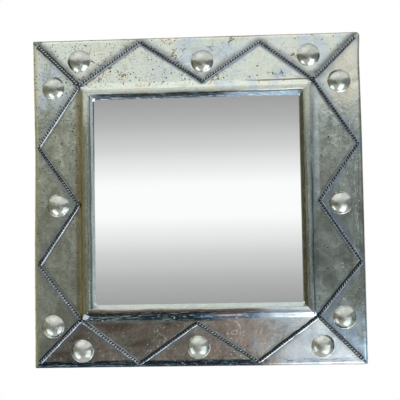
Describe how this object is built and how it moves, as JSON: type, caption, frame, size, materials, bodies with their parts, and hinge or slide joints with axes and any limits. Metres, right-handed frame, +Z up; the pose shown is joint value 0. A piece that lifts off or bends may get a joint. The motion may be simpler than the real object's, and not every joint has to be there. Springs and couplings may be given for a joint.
{
  "type": "tin framed wall mirror",
  "caption": "Square wall mirror in a mitred, folded tin frame with a raised bead, zigzag twisted wire, domed studs and a hanging ring behind.",
  "frame": {"origin": "middle of the wall plane behind the mirror", "axes": "+Z up, -Y out of the wall towards the viewer, +X to the viewer's right"},
  "size_m": [0.31, 0.023, 0.31],
  "materials": {
    "tin_sheet": "aged tin plate, satin, stained and pitted",
    "tin_dome": "bright tin plate",
    "twisted_wire": "blackened twisted wire with bright worn crowns, in solder",
    "silvered_glass": "clean silvered glass",
    "board": "raw board",
    "back_tin": "dull aged tin plate",
    "ring_wire": "dull steel wire"
  },
  "bodies": {
    "mirror": {"frame_side_top": "tin_sheet", "glazing_strip_top": "back_tin", "zigzag_wire_top": "twisted_wire", "dome_top_left": "tin_dome", "dome_top_middle": "tin_dome", "dome_top_right": "tin_dome", "frame_side_right": "tin_sheet", "glazing_strip_right": "back_tin", "zigzag_wire_right": "twisted_wire", "dome_right_top": "tin_dome", "dome_right_middle": "tin_dome", "dome_right_bottom": "tin_dome", "frame_side_bottom": "tin_sheet", "glazing_strip_bottom": "back_tin", "zigzag_wire_bottom": "twisted_wire", "dome_bottom_right": "tin_dome", "dome_bottom_middle": "tin_dome", "dome_bottom_left": "tin_dome", "frame_side_left": "tin_sheet", "glazing_strip_left": "back_tin", "zigzag_wire_left": "twisted_wire", "dome_left_bottom": "tin_dome", "dome_left_middle": "tin_dome", "dome_left_top": "tin_dome", "corner_wire_top_right": "twisted_wire", "corner_wire_bottom_right": "twisted_wire", "corner_wire_bottom_left": "twisted_wire", "corner_wire_top_left": "twisted_wire", "mirror_pane": "silvered_glass", "backing_board": "board", "back_plate": "back_tin", "hanger_strap": "back_tin"},
    "ring": {"hanger_ring": "ring_wire"}
  },
  "joints": [
    {"name": "hanger_ring_swing", "type": "hinge", "parent": "mirror", "child": "ring", "pos_m": [0, -0.0065, 0.08], "axis": [1, 0, 0], "range_deg": [0, 180]}
  ]
}
